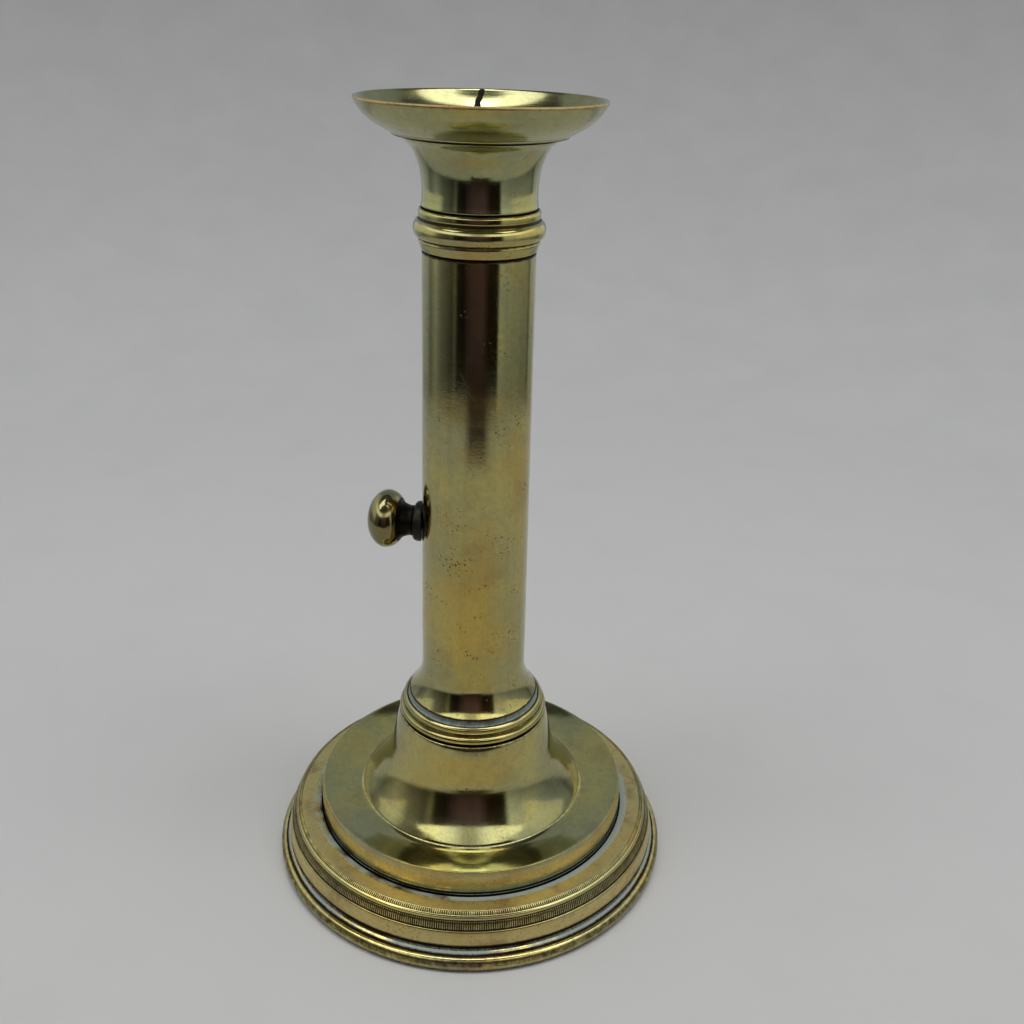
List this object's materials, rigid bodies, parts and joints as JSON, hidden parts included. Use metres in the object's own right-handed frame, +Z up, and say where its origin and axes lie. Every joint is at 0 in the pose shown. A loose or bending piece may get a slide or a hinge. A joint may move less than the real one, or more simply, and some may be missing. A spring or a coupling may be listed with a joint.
{
  "type": "candlestick",
  "caption": "Brass push-up candlestick: round stepped foot, slotted stem with a side knob that slides a plate up and down, moulded collars, drip pan and a burnt candle stub.",
  "frame": {"origin": "on the stem's axis, in the plane that the foot rests on", "axes": "+Z up along the stem's axis; the push knob stands out along -X"},
  "size_m": [0.1058, 0.1058, 0.1975],
  "materials": {
    "polished_brass": "aged polished cast brass, greenish yellow, with residue in the grooves",
    "knob_brass": "polished head on a blackened neck",
    "inner_brass": "unpolished spring brass sheet",
    "dark_brass": "blackened brass",
    "iron": "old wrought iron, dull",
    "wax": "candle wax, ivory, slightly translucent",
    "charred_cotton": "burnt black cotton wick"
  },
  "bodies": {
    "stand": {"foot_ring": "polished_brass", "foot_dome": "polished_brass", "base_collar": "polished_brass", "stem_tube": "polished_brass", "stem_collar": "polished_brass", "socket_neck": "polished_brass", "drip_pan": "polished_brass", "stem_plug": "dark_brass", "fixing_bolt": "iron", "base_washer": "iron", "base_nut": "iron"},
    "pusher": {"pusher_knob": "knob_brass", "knob_washer": "dark_brass", "knob_shank": "dark_brass", "shank_rove": "dark_brass", "push_strip": "inner_brass", "candle_plate": "dark_brass", "plate_rivet_lower": "dark_brass", "plate_rivet_upper": "dark_brass", "spring_leaf": "inner_brass", "spring_rivet": "dark_brass"},
    "candle": {"candle_stub": "wax", "wick": "charred_cotton"}
  },
  "joints": [
    {"name": "pusher_slide", "type": "slide", "parent": "stand", "child": "pusher", "axis": [0, 0, 1], "range_m": [-0.03, 0.05]},
    {"name": "candle_lift", "type": "slide", "parent": "pusher", "child": "candle", "axis": [0, 0, 1], "range_m": [0, 0.062]}
  ]
}
